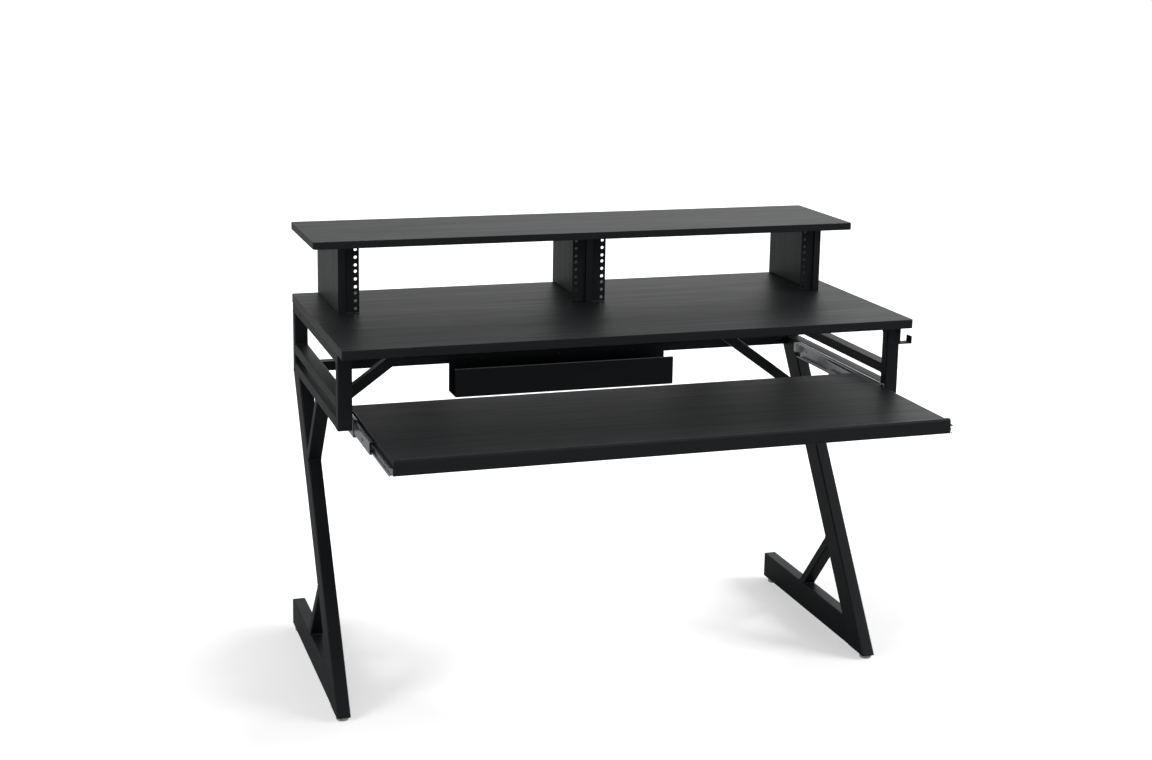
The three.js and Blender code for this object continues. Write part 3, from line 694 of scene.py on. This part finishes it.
HEAD_SEGMENTS = 24
HEX_SEGMENTS = 6


def cross_outline(reach, half):
    """The twelve corners of a cross recess, for arms of this reach and half width."""
    quarter = [(reach, -half), (reach, half), (half, half)]
    corners = []
    for turn in range(4):
        for x, y in quarter:
            for _ in range(turn):
                x, y = -y, x
            corners.append((x, y))
    return corners


def hex_outline(radius):
    spoke = Vector((radius, 0))
    corners = []
    for turn in range(HEX_SEGMENTS):
        corners.append(Matrix.Rotation(turn * tau / HEX_SEGMENTS, 2) @ spoke)
    return corners


def screw_head(name, outline, depth, rings):
    """
    A head that faces +Z and stands on z = 0: a recess of this outline and depth, then rings given
    as (radius, height) out over the crown and down to the rim.
    """
    work = bmesh.new()

    def grown_loop(edges):
        """Extrudes a loop of edges: the new loop's edges and vertices."""
        made = bmesh.ops.extrude_edge_only(work, edges=edges)["geom"]
        verts = [part for part in made if isinstance(part, bmesh.types.BMVert)]
        loop = [
            part for part in made
            if isinstance(part, bmesh.types.BMEdge) and all(v in verts for v in part.verts)
        ]
        return loop, verts

    radius, crown = rings[0]
    floor = work.faces.new([work.verts.new((x, y, crown - depth)) for x, y in outline])
    rim, rim_verts = grown_loop(floor.edges)
    bmesh.ops.translate(work, vec=(0, 0, depth), verts=rim_verts)
    ring = bmesh.ops.create_circle(work, segments=HEAD_SEGMENTS, radius=radius)["verts"]
    bmesh.ops.translate(work, vec=(0, 0, crown), verts=ring)
    edges = list(dict.fromkeys(edge for vertex in ring for edge in vertex.link_edges))
    bmesh.ops.bridge_loops(work, edges=rim + edges)
    for next_radius, height in rings[1:]:
        edges, ring = grown_loop(edges)
        growth = next_radius / radius
        bmesh.ops.translate(work, vec=(0, 0, height - ring[0].co.z), verts=ring)
        bmesh.ops.scale(work, vec=(growth, growth, 1), verts=ring)
        radius = next_radius
    bmesh.ops.holes_fill(work, edges=edges)
    bmesh.ops.recalc_face_normals(work, faces=work.faces)
    return shape_mesh(name, work)


def make_heads():
    return {
        "button": screw_head(
            "button", hex_outline(2.3 * MM), 1 * MM,
            [(3.2 * MM, 1.2 * MM), (4.4 * MM, 1 * MM), (5.1 * MM, 0.6 * MM), (5.3 * MM, 0.2 * MM),
             (5.3 * MM, 0)],
        ),
        "pan": screw_head(
            "pan", cross_outline(1.8 * MM, 0.45 * MM), 1.3 * MM,
            [(2.6 * MM, 2 * MM), (3.3 * MM, 1.7 * MM), (3.8 * MM, 1.1 * MM), (4 * MM, 0.4 * MM),
             (4 * MM, 0)],
        ),
        "sunk": screw_head(
            "sunk", cross_outline(1.25 * MM, 0.35 * MM), 0.7 * MM,
            [(1.9 * MM, 1 * MM), (2.3 * MM, 0.95 * MM), (2.35 * MM, 0.8 * MM), (2.35 * MM, 0)],
        ),
        "board": screw_head(
            "board", hex_outline(2.1 * MM), 0.6 * MM,
            [(3.4 * MM, 0.7 * MM), (4.6 * MM, 0.6 * MM), (5 * MM, 0.3 * MM), (5 * MM, 0)],
        ),
    }


def fasten(name, head, finish, body, places):
    """One piece that holds every screw of a kind: places are (point, direction) pairs."""
    work = bmesh.new()
    for place, direction in places:
        stamp(work, HEADS[head], facing(place, direction))
    finish_piece(name, work, [finish], body)


BOLT_EDGE = 8 * MM  # how near a bolt comes to the edge of its tube


def make_frame_bolts():
    """Button-head bolts through the side frames into the rear cross rail and the stretcher."""
    places = []
    for side, sign in SIDES.items():
        for tie, upright in (("rear_cross_rail", "top_rail"), ("rear_stretcher", "rear_post")):
            centre = middle(tie)
            low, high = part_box(f"{upright}_{side}")
            x = high.x if sign > 0 else low.x
            y = min(max(centre.y, low.y + BOLT_EDGE), high.y - BOLT_EDGE)
            places.append((Vector((x, y, centre.z)), sign * X_AXIS))
    fasten("frame_bolts", "button", "black_oxide", "desk", places)


RAIL_SCREW_SHARES = (0.14, 0.5, 0.86)
CROSS_SCREW_SHARES = (0.15, 0.5, 0.85)


def make_desktop_screws():
    """Pan-head screws up through the top rails and the cross rails into the desktop."""
    places = []
    for side in SIDES:
        low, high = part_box(f"top_rail_{side}")
        for share in RAIL_SCREW_SHARES:
            y = low.y + share * (high.y - low.y)
            places.append((Vector(((low.x + high.x) / 2, y, low.z)), -Z_AXIS))
    for node in ("front_cross_rail", "rear_cross_rail"):
        low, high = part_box(node)
        for share in CROSS_SCREW_SHARES:
            x = low.x + share * (high.x - low.x)
            places.append((Vector((x, (low.y + high.y) / 2, low.z)), -Z_AXIS))
    fasten("desktop_screws", "pan", "black_oxide", "desk", places)


RISER_SCREW_SHARES = (0.2, 0.8)


def make_riser_screws():
    """Flat hex-socket screws up through the desktop into the riser's upright boards."""
    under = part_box("desktop")[0].z
    places = []
    for node in ("riser_side_left", "riser_divider", "riser_side_right"):
        low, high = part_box(node)
        for share in RISER_SCREW_SHARES:
            y = low.y + share * (high.y - low.y)
            places.append((Vector(((low.x + high.x) / 2, y, under)), -Z_AXIS))
    fasten("riser_screws", "board", "black_oxide", "desk", places)


BOARD_SCREW_SHARES = (0.12, 0.5, 0.88)
ANGLE_DEPTH = 26 * MM  # how far a rack angle reaches back along its board


def make_angle_screws():
    """Three pan-head screws hold each rack angle to its board."""
    sheet = SHEETS["rack_angle"]
    places = []
    for bay in SIDES:
        for side, sign in SIDES.items():
            low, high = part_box(f"rack_angle_{bay}_bay_{side}")
            x = low.x + sheet if sign < 0 else high.x - sheet
            for share in BOARD_SCREW_SHARES:
                z = low.z + share * (high.z - low.z)
                y = low.y + (sheet + ANGLE_DEPTH) / 2
                places.append((Vector((x, y, z)), -sign * X_AXIS))
    fasten("rack_angle_screws", "pan", "black_oxide", "desk", places)


TRAY_SCREW_DROP = 8 * MM
HOOK_SCREW_INSETS = (9 * MM, 25 * MM)


def make_small_bracket_screws():
    """Screws of the cable tray on the stretcher, and of the hook under the desktop."""
    low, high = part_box("cable_tray")
    wall = high.y - SHEETS["cable_tray"]
    width = high.x - low.x
    places = [
        (Vector((low.x + share * width, wall, high.z - TRAY_SCREW_DROP)), -Y_AXIS)
        for share in CROSS_SCREW_SHARES
    ]
    low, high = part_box("headphone_hook")
    under = high.z - SHEETS["headphone_hook"]
    for inset in HOOK_SCREW_INSETS:
        places.append((Vector((low.x + inset, (low.y + high.y) / 2, under)), -Z_AXIS))
    fasten("bracket_screws", "pan", "black_oxide", "desk", places)


# Slides

SLIDE_HOLE_SHARES = (0.09, 0.62, 0.92)  # the holes of a slide's web that hold a screw
BALL_RADIUS = 2 * MM
BALLS_IN_ROW = 6
CAGE_SHEET = 0.6 * MM
SLIDE_TRIM = 9 * MM  # how much lower the slides are than their CAD section
FLANGE_START = 6 * MM  # from the slides' middle line: past their holes, short of their raceways


def lower_slide(work):
    """Brings a slide's upper raceway down, and the holes in its web half as far."""
    level = middle("slide_outer_left").z
    for vertex in work.verts:
        rise = vertex.co.z - level
        if rise > FLANGE_START:
            vertex.co.z -= SLIDE_TRIM
        elif rise > -FLANGE_START:
            vertex.co.z -= SLIDE_TRIM / 2


def make_slide_screws(side, sign):
    """Flush cross-recess screws, in the outer member's web and in the inner member's web."""
    for member, toward in (("slide_outer", sign), ("slide_inner", -sign)):
        node = f"{member}_{side}"
        low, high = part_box(node)
        web = high.x if toward > 0 else low.x
        places = []
        for share in SLIDE_HOLE_SHARES:
            y = low.y + share * (high.y - low.y)
            z = (low.z + high.z - SLIDE_TRIM) / 2
            places.append((Vector((web, y, z)), -toward * X_AXIS))
        name = f"{member}_screws_{side}"
        fasten(name, "sunk", "black_oxide", BODY_OF[node], places)


def make_ball_cage(node, sign):
    """Two rows of balls held in the arms of a thin steel channel, its web towards the rail."""
    low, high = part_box(node)
    centre = (low + high) / 2
    rail = high.x if sign > 0 else low.x
    ball_x = (low.x + BALL_RADIUS) if sign > 0 else (high.x - BALL_RADIUS)
    reach = ball_x - sign * BALL_RADIUS / 2
    level = (high.z - low.z) / 2 - BALL_RADIUS
    half = CAGE_SHEET / 2
    work = bmesh.new()

    def strip(x_ends, z_ends):
        xs, zs = sorted(x_ends), sorted(z_ends)
        corner = Vector((xs[0], low.y, centre.z + zs[0]))
        far = Vector((xs[1], high.y, centre.z + zs[1]))
        add_box(work, corner, far)

    strip((rail, rail - sign * CAGE_SHEET), (-level - half, level + half))
    for row in (-level, level):
        strip((rail, reach), (row - half, row + half))
        for i in range(BALLS_IN_ROW):
            y = low.y + (i + 1 / 2) / BALLS_IN_ROW * (high.y - low.y)
            place = Matrix.Translation((ball_x, y, centre.z + row))
            bmesh.ops.create_uvsphere(
                work, u_segments=18, v_segments=10, radius=BALL_RADIUS, matrix=place,
            )
    lower_slide(work)
    finish_piece(f"{node}_piece", work, ["ball_steel"], BODY_OF[node], node)


def make_slides():
    for side, sign in SIDES.items():
        for node in ("slide_outer", "slide_middle", "slide_inner"):
            carry_over(f"{node}_{side}", lower_slide, slide_holes)
        carry_over(f"slide_guide_{side}", lower_slide, soft_edges)
        carry_over(f"slide_stop_{side}", soft_edges)
        for node in ("ball_cage_outer", "ball_cage_inner"):
            make_ball_cage(f"{node}_{side}", sign)
        make_slide_screws(side, sign)


# Glides

GLIDE_GROOVE = 0.8 * MM


def make_glide(node):
    """A turned plastic foot: a rounded sole, a straight side and a groove under its flange."""
    low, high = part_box(node)
    centre = (low + high) / 2
    radius = (high.x - low.x) / 2
    height = high.z - low.z
    profile = [
        (0, 0),
        (radius - 2.6 * MM, 0),
        (radius - 1 * MM, 0.6 * MM),
        (radius - 0.2 * MM, 1.8 * MM),
        (radius, 3 * MM),
        (radius, height - 3 * MM),
        (radius - GLIDE_GROOVE, height - 2.7 * MM),
        (radius - GLIDE_GROOVE, height - 2.1 * MM),
        (radius, height - 1.8 * MM),
        (radius, height),
        (0, height),
    ]
    work = bmesh.new()
    verts = [work.verts.new((r, 0, z)) for r, z in profile]
    edges = [work.edges.new(pair) for pair in zip(verts, verts[1:])]
    bmesh.ops.spin(
        work, geom=verts + edges, cent=(0, 0, 0), axis=Z_AXIS, angle=tau, steps=48, use_merge=True,
    )
    bmesh.ops.remove_doubles(work, verts=work.verts, dist=NEAR)
    bmesh.ops.recalc_face_normals(work, faces=work.faces)
    bmesh.ops.translate(work, vec=(centre.x, centre.y, low.z), verts=work.verts)
    finish_piece(f"{node}_piece", work, ["pale_plastic"], "desk", node)


def make_glides():
    for place in ("front", "rear"):
        for side in SIDES:
            make_glide(f"glide_{place}_{side}")


# Floor and light

STUDIO_DIM = 0.5  # the studio behind the viewer, against the backdrop's white of 1
BACKDROP_GLARE = 1.5  # the brightest part of the backdrop, in reflections and as light
STUDIO_LEVEL = 0.6  # how much of the studio's light falls on matt surfaces
BACKDROP_SIDE = (1, 0.75, 0)  # the backdrop is brightest behind the desk and to its right
BACKDROP_START = 0.7
BACKDROP_FULL = 1.2
FLOOR_HALF_WIDTH = 3.5
FLOOR_FRONT = -1.6
FLOOR_REAR = 8
FLOOR_WHITE = 0.45
# To the viewer the floor glows up to the backdrop's white. The glow is weaker near the feet, where
# the desk's shadows show, and stronger away from them: a painted light that washes the shadows out,
# so that the floor there is plain.
FLOOR_SHADING = 0.95
NEAR_GLOW = 0.435
FAR_GLOW = 0.75
FADE_START = 0.2
FADE_END = 0.5
# Two low soft lights, each with its direction, its spread in degrees and its strength.
LIGHTS = {
    "key": ((-1, 0.3, -0.55), 30, 1.9),
    "fill": ((1, 0.3, -0.6), 30, 1),
}


def any_ray(tree, kinds):
    """1 for a ray of any of these kinds."""
    path = tree.nodes.new("ShaderNodeLightPath")
    seen = path.outputs[kinds[0]]
    for kind in kinds[1:]:
        seen = combined(tree, "MAXIMUM", seen, path.outputs[kind])
    return seen


def make_world():
    """A white backdrop behind the desk that fades to a dim studio behind the viewer."""
    world = bpy.data.worlds.new("studio")
    world.use_nodes = True
    tree = world.node_tree
    toward = tree.nodes.new("ShaderNodeVectorMath")
    toward.operation = "DOT_PRODUCT"
    toward.inputs[1].default_value = BACKDROP_SIDE
    tree.links.new(tree.nodes.new("ShaderNodeTexCoord").outputs["Generated"], toward.inputs[0])
    backdrop = ranged(
        tree, toward.outputs["Value"], STUDIO_DIM, BACKDROP_GLARE, BACKDROP_START, BACKDROP_FULL,
    )
    reflected = any_ray(tree, ["Is Glossy Ray", "Is Transmission Ray"])
    lit = combined(tree, "MULTIPLY", backdrop, ranged(tree, reflected, STUDIO_LEVEL, 1))
    shown = combined(tree, "MAXIMUM", lit, any_ray(tree, ["Is Camera Ray"]))
    background = tree.nodes["Background"]
    background.inputs["Color"].default_value = (1, 1, 1, 1)
    tree.links.new(shown, background.inputs["Strength"])
    bpy.context.scene.world = world


def from_feet(tree):
    """How far a place on the floor is from the middle of the nearer foot beam."""
    foot = middle("foot_beam_right")
    mirrored = tree.nodes.new("ShaderNodeVectorMath")
    mirrored.operation = "ABSOLUTE"
    tree.links.new(tree.nodes.new("ShaderNodeTexCoord").outputs["Object"], mirrored.inputs[0])
    distance = tree.nodes.new("ShaderNodeVectorMath")
    distance.operation = "DISTANCE"
    distance.inputs[1].default_value = (foot.x, abs(foot.y), 0)
    tree.links.new(mirrored.outputs["Vector"], distance.inputs[0])
    return distance.outputs["Value"]


def make_floor():
    work = bmesh.new()
    bmesh.ops.create_grid(work, x_segments=1, y_segments=1, size=1)
    bmesh.ops.scale(work, vec=(FLOOR_HALF_WIDTH, (FLOOR_REAR - FLOOR_FRONT) / 2, 1), verts=work.verts)
    bmesh.ops.translate(work, vec=(0, (FLOOR_REAR + FLOOR_FRONT) / 2, 0), verts=work.verts)
    mesh = bpy.data.meshes.new("floor")
    work.to_mesh(mesh)
    work.free()
    floor = bpy.data.objects.new("floor", mesh)
    bpy.context.scene.collection.objects.link(floor)
    material = bpy.data.materials.new("studio_floor")
    material.use_nodes = True
    tree = material.node_tree
    shader = tree.nodes["Principled BSDF"]
    shader.inputs["Roughness"].default_value = 1
    shader.inputs["Specular IOR Level"].default_value = 0
    shader.inputs["Emission Color"].default_value = (1, 1, 1, 1)
    seen = any_ray(tree, ["Is Camera Ray"])
    tree.links.new(ranged(tree, seen, FLOOR_WHITE, FLOOR_SHADING), shader.inputs["Base Color"])
    # Painted light: the floor glows more the farther it is from the feet, which hides the desk's
    # shadows away from them.
    glow = ranged(tree, from_feet(tree), NEAR_GLOW, FAR_GLOW, FADE_START, FADE_END)
    tree.links.new(combined(tree, "MULTIPLY", seen, glow), shader.inputs["Emission Strength"])
    mesh.materials.append(material)


def soft_sun(name, toward, spread, strength):
    """A broad even light that shines along a direction."""
    lamp = bpy.data.lights.new(name, "SUN")
    lamp.angle = radians(spread)
    lamp.energy = strength
    stand = bpy.data.objects.new(name, lamp)
    bpy.context.scene.collection.objects.link(stand)
    stand.matrix_world = Vector(toward).to_track_quat("-Z", "Y").to_matrix().to_4x4()


def make_lights():
    for name, (toward, spread, strength) in LIGHTS.items():
        soft_sun(name, toward, spread, strength)


FINISH = make_finishes()
HEADS = make_heads()
place_camera()
make_world()
make_floor()
make_lights()
make_boards()
make_tray_lip()
make_frame()
make_sheet_metal()
make_welds()
make_frame_bolts()
make_desktop_screws()
make_riser_screws()
make_angle_screws()
make_small_bracket_screws()
make_slides()
make_glides()

bpy.context.scene.view_settings.view_transform = "Standard"
